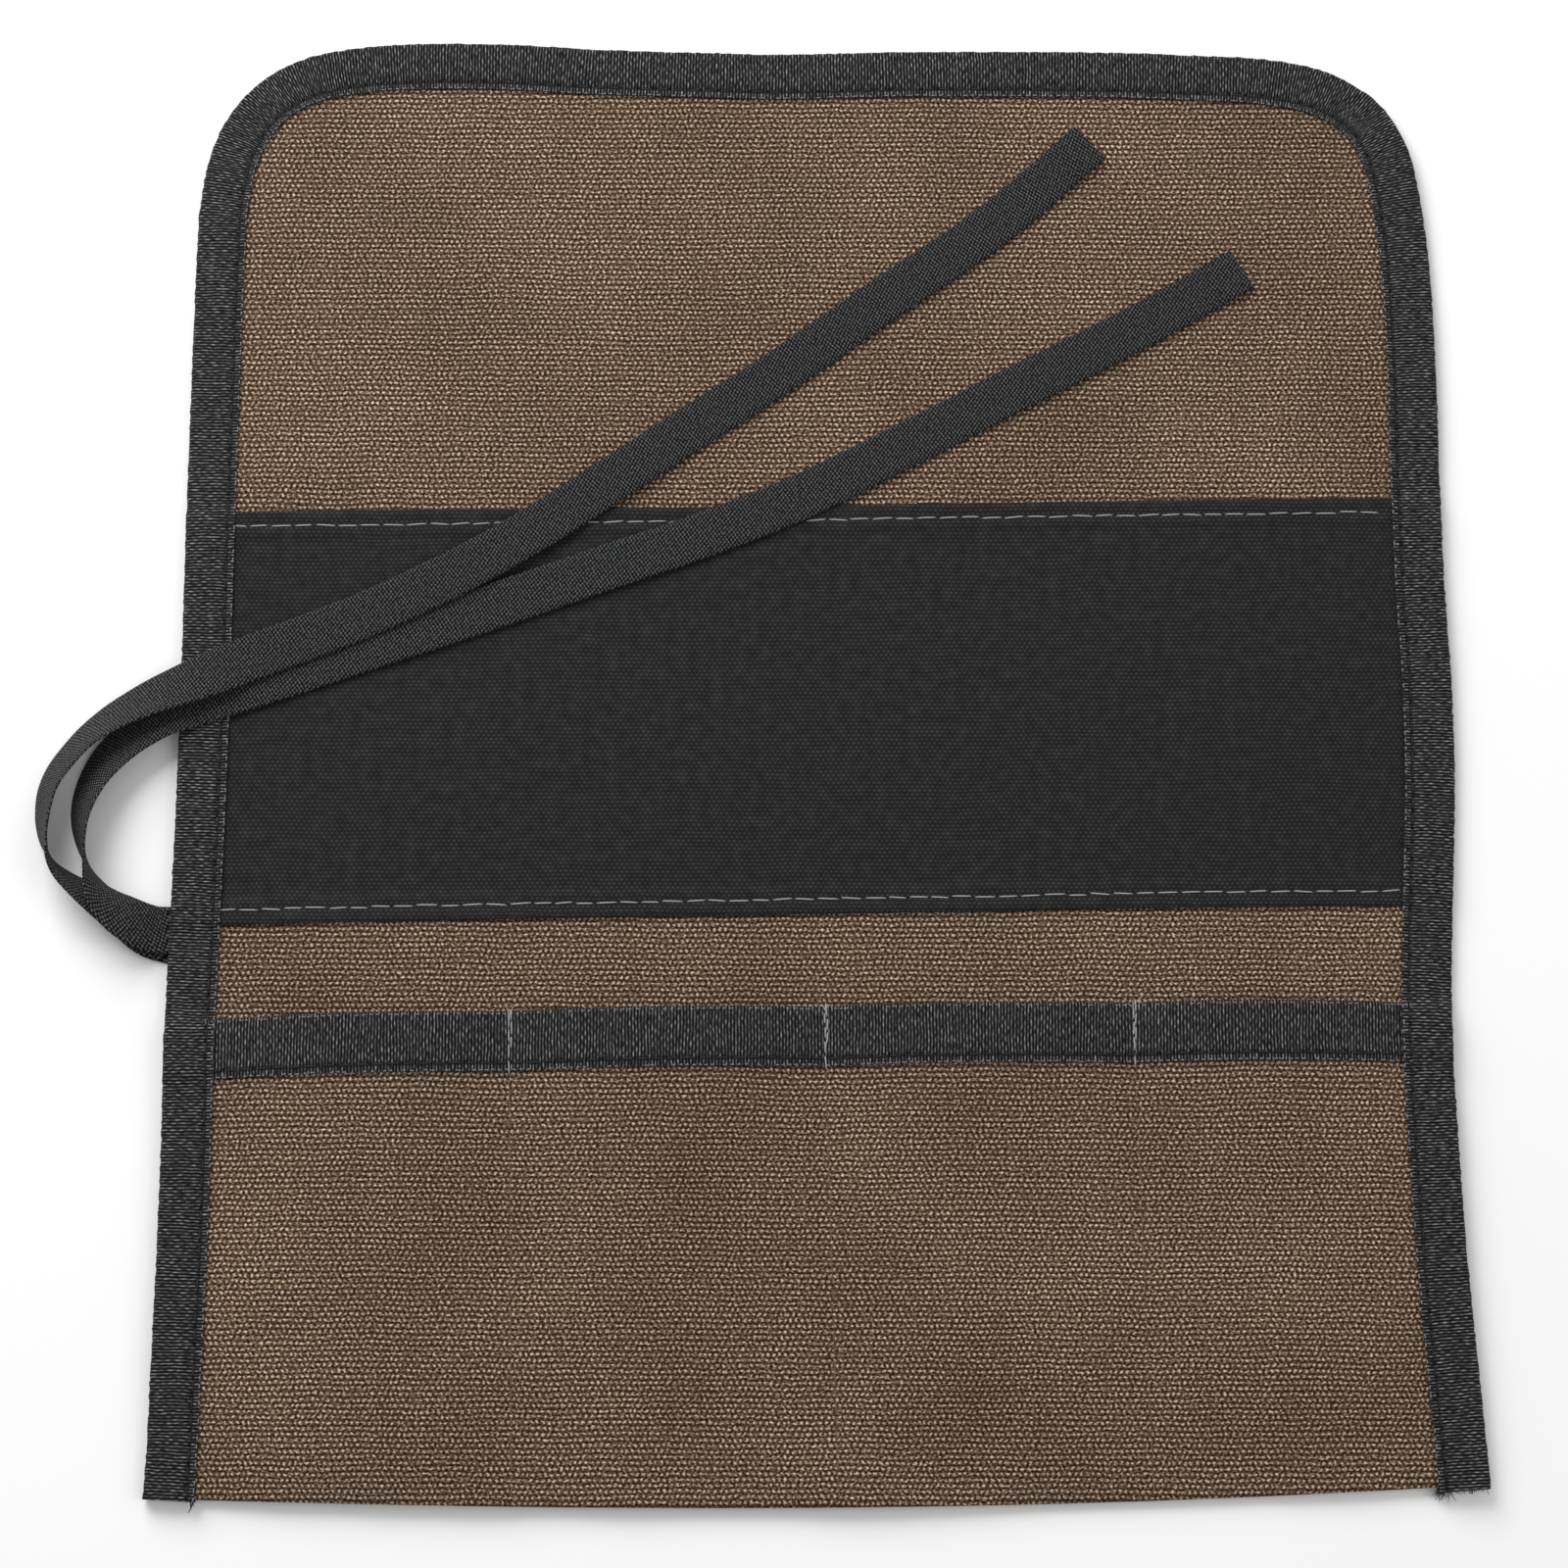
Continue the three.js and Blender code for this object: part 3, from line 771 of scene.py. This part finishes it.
def mouth_band_surface(x, v):
    """v runs from the inner leg's lower edge, over the mouth, to the outer leg's lower edge."""
    reach = BAND_WIDTH - BAND_STANDS
    turn = math.pi * BAND_STANDS
    mouth = mouth_line(x) - BAND_STANDS
    if v < reach:
        y, above = mouth - reach + v, -1.0
    elif v < reach + turn:
        angle = (v - reach) / turn * math.pi
        y, above = mouth + BAND_STANDS * math.sin(angle), -math.cos(angle)
    else:
        y, above = mouth - (v - reach - turn), 1.0
    return (x, y, front_height(x, min(y, mouth)) + above * BAND_STANDS)


# Ribbed tape: ribs across its width, broken into short light thread tops, with a plain selvedge.
RIB = 0.77
edge_tape, tree = new_cloth("black_ribbed_tape")
spot, across, y = cloth_map(tree)
y = sums(tree, "ADD", y, sums(tree, "MULTIPLY_ADD", patches(tree, spot, 0.12), 0.8, -0.4))
ribs = sums(tree, "COSINE", sums(tree, "MULTIPLY", y, 2 * math.pi / RIB))
threads = checks(tree, across, y, 1.05, RIB)
flecks = patches(tree, spot, 1.3, (0.5, 1.5, 1), detail=4)
tops = sums(tree, "MULTIPLY_ADD", ribs, 0.32, 0.40)
tops = sums(tree, "ADD", tops, sums(tree, "MULTIPLY", threads, 0.09))
tops = sums(tree, "ADD", tops, sums(tree, "MULTIPLY_ADD", flecks, 1.3, -0.65))
colour = ramp(tree, tops, [
    (0.12, (0.002, 0.002, 0.002)), (0.42, (0.015, 0.015, 0.0155)), (0.70, (0.075, 0.076, 0.077)),
    (0.95, (0.31, 0.312, 0.315)),
])
# Painted shade: the tape's colour is darkened in a narrow line 1.9 mm in from its sewn edge, along the sunken
# line of its stitches.
from_stitches = sums(tree, "ABSOLUTE", sums(tree, "SUBTRACT", across, 1.9))
painted_stitch_shade = ramp(tree, from_stitches, [(0.25, (0.3, 0.3, 0.3)), (0.7, (1, 1, 1))])
colour = blended(tree, 1.0, colour, painted_stitch_shade, "MULTIPLY")
finish_cloth(edge_tape, colour, tops, 0.3, 0.85, 0.85, 0.03)

for seam, (x0, x1) in enumerate(lengths_between(-150 * MM, 148.5 * MM)):
    around = 2 * (BAND_WIDTH - BAND_STANDS) + math.pi * BAND_STANDS
    columns, rows = cloth_steps(x1 - x0, around, 1.0 * MM)
    piece = lay_cloth(f"mouth_tape_{PLACES[seam]}", mouth_band_surface, (x0, x1), lambda x: (0, around),
                      (columns, rows + 12), TAPE, edge_tape, cloth_uv=lambda x, v: (around - v, x))
    bend_over_seam(piece)
    stand_for("mouth_band", seam)

# ---- Edge tape ----
# One length of the same ribbed tape, 26 mm wide laid flat, folded over the two sides and the top edge
# and sewn through 2 mm from its inner edge. It is cut off square at the bottom, where the right end frays.

TAPE_FACE = 12.3 * MM
STITCH_INSET = 10.4 * MM


def stack_top(x, y):
    """The height of the cloth under the tape's upper face, which is thicker over the pockets."""
    top = BACK_Z + CANVAS / 2 + waves(x, y)
    in_guard = ease((y - guard_bottom(x) + 2 * MM) / (4 * MM)) * ease((guard_top(x) + 2 * MM - y) / (4 * MM))
    in_pocket = ease((mouth_line(x) + 2 * MM - y) / (5 * MM))
    in_band = in_pocket * ease((y - mouth_line(x) + BAND_WIDTH + 2 * MM) / (4 * MM))
    return top + 0.75 * MM * in_guard + 1.0 * MM * in_pocket + 0.75 * MM * in_band


def tape_face_height(x, y, inset):
    """The tape's upper face: rounded at the fold, flat, and drawn down along its stitches."""
    rise = stack_top(x, y) + 0.15 * MM + TAPE / 2
    drawn = 0.45 * MM * math.exp(-((inset - STITCH_INSET) / (0.7 * MM)) ** 2)
    crown = 0.25 * MM * math.sin(math.pi * min(1, inset / STITCH_INSET))
    return rise - drawn + crown


def bind_edge(name, first, last, material):
    """Sweeps the folded tape along the sheet's outline from one of its points to another."""
    insets = [12.3, 11.6, 11.0, 10.4, 9.8, 9.2, 8.2, 6.8, 5.2, 3.8, 2.6, 1.8, 1.2]
    vertices, faces, uvs, widths = [], [], [], []
    low_z = TAPE / 2
    for i in range(first, last + 1):
        spot = outline[i]
        inward = inward_at(i)
        wobble = 0.3 * MM * noise.noise(Vector((i * 1.7, 0.5, 1.3)))
        ring = []
        for inset in insets:
            place = spot + inward * (inset * MM)
            ring.append((inset * MM, tape_face_height(place.x, place.y, inset * MM)))
        crest = ring[-1][1]
        for step in range(1, 8):
            angle = math.pi * step / 8
            depth = 1.2 * MM - (0.95 * MM - wobble) * math.sin(angle)
            ring.append((depth, (crest + low_z) / 2 + (crest - low_z) / 2 * math.cos(angle)))
        for inset in reversed(insets):
            ring.append((inset * MM, low_z))
        run = 0.0
        for k, (inset, z) in enumerate(ring):
            place = spot + inward * inset
            if k:
                run += math.hypot(inset - ring[k - 1][0], z - ring[k - 1][1])
            vertices.append((place.x, place.y, z))
            uvs.append((run / UV_UNIT, i * OUTLINE_STEP / UV_UNIT))
        widths.append(run)
    around = len(insets) * 2 + 7
    for i in range(last - first):
        for k in range(around - 1):
            a = i * around + k
            faces.append((a, a + 1, a + 1 + around, a + around))
    piece = new_piece(name, vertices, faces, uvs, material)
    face_outwards(piece)
    wall = piece.modifiers.new("thickness", "SOLIDIFY")
    wall.thickness = TAPE
    wall.offset = 0
    bpy.ops.object.modifier_apply(modifier=wall.name)
    bpy.ops.object.shade_smooth_by_angle(angle=math.radians(50))
    return piece


def outline_index(test):
    return next(i for i, spot in enumerate(outline) if test(spot))


left_fold = outline_index(lambda spot: spot.y >= FLAP_START)
right_fold = outline_index(lambda spot: spot.x > 0 and spot.y <= FLAP_START)
top_breaks = [outline_index(lambda spot: spot.y > 0 and spot.x >= seam) for seam in SEAMS]

piece = bind_edge("edge_tape_left", 0, left_fold, edge_tape)
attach(piece, "column_1")
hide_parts("side_binding_left")
piece = bind_edge("edge_tape_right", right_fold, len(outline) - 1, edge_tape)
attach(piece, "column_4")
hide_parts("side_binding_right")
flap_breaks = [left_fold, *top_breaks, right_fold]
for column in (1, 2, 3, 4):
    piece = bind_edge(f"edge_tape_flap_{column}", flap_breaks[column - 1], flap_breaks[column], edge_tape)
    bend_over_fold(piece)
    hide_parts(f"flap_binding_{column}")

# ---- Stitching ----
# Light grey thread holds the guard panel and crosses the mouth tape; black thread holds the edge tape
# and brown thread closes the pockets. Each stitch is a short length of thread that dips at both ends.


def model_stitch():
    """One stitch of unit length along X and unit thickness: a drawn-out round form with sunken ends."""
    bpy.ops.object.select_all(action="DESELECT")
    bpy.ops.mesh.primitive_uv_sphere_add(segments=6, ring_count=6, radius=0.5, rotation=(0, math.pi / 2, 0))
    stitch = bpy.context.object
    bpy.ops.object.transform_apply(location=True, rotation=True, scale=True)
    shape = []
    for vertex in stitch.data.vertices:
        along = vertex.co.x
        full = math.sqrt(max(0, 1 - (2 * along) ** 2))
        squared = min(1.0, full * 1.5) / full if full > 0.01 else 1
        shape.append((along, vertex.co.y * squared, vertex.co.z * squared))
    faces = [tuple(face.vertices) for face in stitch.data.polygons]
    bpy.data.objects.remove(stitch)
    return shape, faces


stitch_shape, stitch_faces = model_stitch()


def sew(name, stitches, thickness, material):
    """Joins stitches into one piece. Each is a start, an end and the way up."""
    vertices, faces, uvs = [], [], []
    for start, end, up in stitches:
        run = end - start
        side = up.cross(run).normalized()
        first = len(vertices)
        for along, across, high in stitch_shape:
            sink = -1.2 * (2 * abs(along)) ** 4
            place = start + run * (along + 0.5) + side * across * thickness
            vertices.append(place + up * (high + 0.25 + sink * 0.5) * thickness)
            uvs.append(((along + 0.5) * run.length / UV_UNIT, across * thickness / UV_UNIT))
        faces += [tuple(first + k for k in face) for face in stitch_faces]
    piece = new_piece(name, vertices, faces, uvs, material)
    for face in piece.data.polygons:
        face.use_smooth = True
    return piece


def thread_finish(name, dark, light):
    """Twisted thread: slanting light and dark strands."""
    material, tree = new_cloth(name)
    spot, x, y = cloth_map(tree)
    strands = sums(tree, "SINE", sums(tree, "MULTIPLY", sums(tree, "ADD", x, y), 2 * math.pi / 0.55))
    fibre = patches(tree, spot, 3, detail=3)
    strands = sums(tree, "MULTIPLY_ADD", strands, 0.3, 0.3)
    tops = sums(tree, "ADD", strands, sums(tree, "MULTIPLY", fibre, 0.5))
    colour = ramp(tree, tops, [(0.1, dark), (0.9, light)])
    finish_cloth(material, colour, tops, 0.1, 0.5, 0.6, 0.1)
    return material


grey_thread = thread_finish("grey_thread", (0.14, 0.14, 0.14), (0.55, 0.55, 0.54))
selvedge_thread = thread_finish("selvedge_thread", (0.05, 0.05, 0.05), (0.34, 0.34, 0.34))
black_thread = thread_finish("black_thread", (0.006, 0.006, 0.006), (0.035, 0.035, 0.035))
brown_thread = thread_finish("brown_thread", (0.05, 0.032, 0.021), (0.19, 0.14, 0.10))
draw = random.Random(11)
UP = Vector((0, 0, 1))
DOWN = Vector((0, 0, -1))


def row_across(line_y, surface, offset, x0, x1, length, gap, stray):
    """Stitches along X on a surface, each a little off the line."""
    stitches, x = [], x0
    while x + length < x1:
        size = length * draw.uniform(0.88, 1.08)
        ends = []
        for at in (x, x + size):
            y = line_y(at) + draw.uniform(-stray, stray)
            ends.append(Vector((at, y, surface(at, y)[2] + offset)))
        stitches.append((ends[0], ends[1], UP if offset > 0 else DOWN))
        x += size + gap * draw.uniform(0.7, 1.4)
    return stitches


def row_along(line_x, height, y0, y1, length, gap, stray, up=UP):
    """Stitches along Y, from y0 up to y1."""
    stitches, y = [], y0
    while y + length * 0.6 < y1:
        size = min(length * draw.uniform(0.9, 1.08), y1 - y)
        ends = []
        for at in (y, y + size):
            x = line_x(at) + draw.uniform(-stray, stray)
            ends.append(Vector((x, at, height(x, at))))
        stitches.append((ends[0], ends[1], up))
        y += size + gap
    return stitches


def sew_over_columns(name, stitches, thickness, material):
    """Splits a row into three pieces, which meet at the middles of the pockets."""
    for seam, (x0, x1) in enumerate(lengths_between(-1, 1)):
        mine = [s for s in stitches if x0 <= (s[0].x + s[1].x) / 2 < x1]
        piece = sew(f"{name}_{PLACES[seam]}", mine, thickness, material)
        bend_over_seam(piece)


GUARD_STITCH = 3.7 * MM
sides = (-145.5 * MM, 144.5 * MM)
guard_rows = []
for surface, offset, length, gap, stray in ((guard_surface, GUARD / 2, 5.2, 0.35, 0.26),
                                            (back_surface, -CANVAS / 2, 4.9, 0.7, 0.15)):
    for line_y in (lambda x: guard_bottom(x) + GUARD_STITCH, lambda x: guard_top(x) - GUARD_STITCH):
        guard_rows += row_across(line_y, surface, offset, *sides, length * MM, gap * MM, stray * MM)
sew_over_columns("guard_stitches", guard_rows, 0.33 * MM, grey_thread)

for seam in range(3):
    bar = row_along(lambda y: divider_x(seam, y), lambda x, y: front_height(x, y) + BAND_STANDS + TAPE / 2,
                    mouth_line(SEAMS[seam]) - BAND_WIDTH - 0.8 * MM, mouth_line(SEAMS[seam]) + 0.6 * MM,
                    3.4 * MM, 0.35 * MM, 0.12 * MM)
    bar += row_along(lambda y: divider_x(seam, y) + 0.55 * MM,
                     lambda x, y: front_height(x, y) + BAND_STANDS + TAPE / 2,
                     mouth_line(SEAMS[seam]) - 9 * MM, mouth_line(SEAMS[seam]) + 1.2 * MM,
                     3.1 * MM, 0.3 * MM, 0.2 * MM)
    piece = sew(f"divider_bar_{seam + 1}", bar, 0.34 * MM, grey_thread)
    bend_over_seam(piece)
    line = row_along(lambda y: divider_x(seam, y), lambda x, y: front_height(x, y) + CANVAS / 2 - 0.05 * MM,
                     bottom_edge(SEAMS[seam]) + 1.5 * MM, mouth_line(SEAMS[seam]) - BAND_WIDTH - 0.8 * MM,
                     3.0 * MM, 0.4 * MM, 0.06 * MM)
    line += row_along(lambda y: divider_x(seam, y), lambda x, y: BACK_Z + waves(x, y) - CANVAS / 2,
                      bottom_edge(SEAMS[seam]) + 1.5 * MM, mouth_line(SEAMS[seam]),
                      3.0 * MM, 0.4 * MM, 0.06 * MM, DOWN)
    piece = sew(f"divider_stitches_{seam + 1}", line, 0.4 * MM, brown_thread)
    bend_over_seam(piece)
    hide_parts(f"divider_seam_{seam + 1}")


def edge_stitches(first, last):
    """Black stitches along the edge tape, on its upper face."""
    stitches = []
    pitch, length = 4, 3
    for i in range(first, last - length, pitch):
        ends = []
        for at in (i, i + length):
            place = outline[at] + inward_at(at) * (STITCH_INSET + draw.uniform(-0.1, 0.1) * MM)
            ends.append(place)
        top = [Vector((p.x, p.y, tape_face_height(p.x, p.y, STITCH_INSET) + TAPE / 2)) for p in ends]
        stitches.append((top[0], top[1], UP))
    return stitches


for name, first, last in (("left", 0, left_fold), ("right", right_fold, len(outline) - 1)):
    piece = sew(f"edge_stitches_{name}", edge_stitches(first + 1, last), 0.4 * MM, black_thread)
    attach(piece, "column_1" if name == "left" else "column_4")
for column in (1, 2, 3, 4):
    piece = sew(f"edge_stitches_flap_{column}", edge_stitches(flap_breaks[column - 1], flap_breaks[column]),
                0.4 * MM, black_thread)
    bend_over_fold(piece)

# ---- Selvedges and loose ends ----
# The tapes' woven edges show as rows of small pale loops. The edge tape frays where it is cut at the
# bottom right, its sewing thread ends in a tail at the bottom left, and the divider bars end in whiskers.

LOOP_LENGTH = 0.9 * MM
LOOP_THICKNESS = 0.3 * MM


def over_front(x, y):
    return (x, y, front_height(x, y))


lower_loops = row_across(lambda x: mouth_line(x) - BAND_WIDTH + 0.2 * MM, over_front, BAND_STANDS + TAPE / 2,
                         *sides, LOOP_LENGTH, 0.7 * MM, 0.12 * MM)
upper_loops = row_across(lambda x: mouth_line(x) - 0.6 * MM, over_front, BAND_STANDS + 0.1 * MM,
                         *sides, LOOP_LENGTH, 0.7 * MM, 0.12 * MM)
mouth_loops = [loop for loop in lower_loops + upper_loops if draw.random() > 0.3]
sew_over_columns("mouth_loops", mouth_loops, LOOP_THICKNESS, selvedge_thread)
mouth_row = row_across(lambda x: mouth_line(x) - BAND_WIDTH + 1.9 * MM, over_front, BAND_STANDS + TAPE / 2,
                       *sides, 3 * MM, 0.8 * MM, 0.1 * MM)
sew_over_columns("mouth_stitches", mouth_row, 0.36 * MM, black_thread)


def edge_loops(first, last):
    """Loops along the inner edge of the edge tape."""
    loops = []
    for i in range(first, last - 1, 2):
        if draw.random() < 0.3:
            continue
        ends = []
        for at in (i, i + 1):
            inset = TAPE_FACE - draw.uniform(0.05, 0.3) * MM
            place = outline[at] + inward_at(at) * inset
            ends.append(Vector((place.x, place.y, tape_face_height(place.x, place.y, inset) + TAPE / 2)))
        loops.append((ends[0], ends[1], UP))
    return loops


for name, first, last in (("left", 0, left_fold), ("right", right_fold, len(outline) - 1)):
    piece = sew(f"edge_loops_{name}", edge_loops(first, last), LOOP_THICKNESS, selvedge_thread)
    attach(piece, "column_1" if name == "left" else "column_4")
for column in (1, 2, 3, 4):
    loops = edge_loops(flap_breaks[column - 1], flap_breaks[column])
    piece = sew(f"edge_loops_flap_{column}", loops, LOOP_THICKNESS, selvedge_thread)
    bend_over_fold(piece)


def loose_fibres(name, fibres, thickness, material):
    """Curled fibres that get thinner. Each is a start, a heading in degrees and a length."""
    steps = 6
    vertices, faces, uvs = [], [], []
    for start, heading, length in fibres:
        angle = math.radians(heading)
        curl = draw.uniform(-1.1, 1.1) / steps
        spot = start.copy()
        first = len(vertices)
        for step in range(steps + 1):
            radius = thickness / 2 * (1 - 0.6 * step / steps)
            side = Vector((-math.sin(angle), math.cos(angle), 0))
            for corner in (0, 1, 2):
                turn = 2 * math.pi * corner / 3
                vertices.append(spot + (side * math.cos(turn) + UP * math.sin(turn)) * radius)
                uvs.append((corner * 0.1 * MM / UV_UNIT, length * step / steps / UV_UNIT))
            angle += curl
            spot = spot + Vector((math.cos(angle), math.sin(angle), 0)) * length / steps
        for step in range(steps):
            for corner in (0, 1, 2):
                a = first + step * 3 + corner
                b = first + step * 3 + (corner + 1) % 3
                faces.append((a, b, b + 3, a + 3))
        faces.append((first + 2, first + 1, first))
        last = first + steps * 3
        faces.append((last, last + 1, last + 2))
    piece = new_piece(name, vertices, faces, uvs, material)
    return piece


frayed_end = outline[-1]


def fibre_root(near, far):
    """A place on the cut end of the tape, between two distances from its outer edge."""
    x = frayed_end.x - draw.uniform(near, far) * MM
    return Vector((x, frayed_end.y + 0.4 * MM, draw.uniform(0.5, 2.4) * MM))


fibres = []
for _ in range(34):
    fibres.append((fibre_root(9.5, 12.4), draw.gauss(-95, 30), draw.uniform(1.5, 3.9) * MM))
for _ in range(26):
    fibres.append((fibre_root(0.4, 9.5), draw.gauss(-90, 22), draw.uniform(0.8, 1.8) * MM))
piece = loose_fibres("frayed_tape_end", fibres, 0.3 * MM, black_thread)
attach(piece, "column_4")

tail_start = Vector((outline[0].x + 11.6 * MM, outline[0].y + 1.2 * MM, 2.6 * MM))
tail_ends = ((-62, 4.6), (-100, 3.6), (-140, 2.6), (-84, 3.0))
fibres = [(tail_start, heading, length * MM) for heading, length in tail_ends]
piece = loose_fibres("thread_tail", fibres, 0.6 * MM, black_thread)
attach(piece, "column_1")

for seam in range(3):
    fibres = []
    for heading, length in ((62, 3.2), (118, 2.2), (85, 1.6), (30, 1.8)):
        at = SEAM_TOPS[seam] + draw.uniform(-0.3, 0.5) * MM
        top = mouth_line(at) - draw.uniform(0.2, 1.5) * MM
        start = Vector((at, top, front_height(at, top) + BAND_STANDS + TAPE / 2))
        fibres.append((start, heading + draw.uniform(-12, 12), length * MM))
    piece = loose_fibres(f"divider_whiskers_{seam + 1}", fibres, 0.24 * MM, grey_thread)
    bend_over_seam(piece)
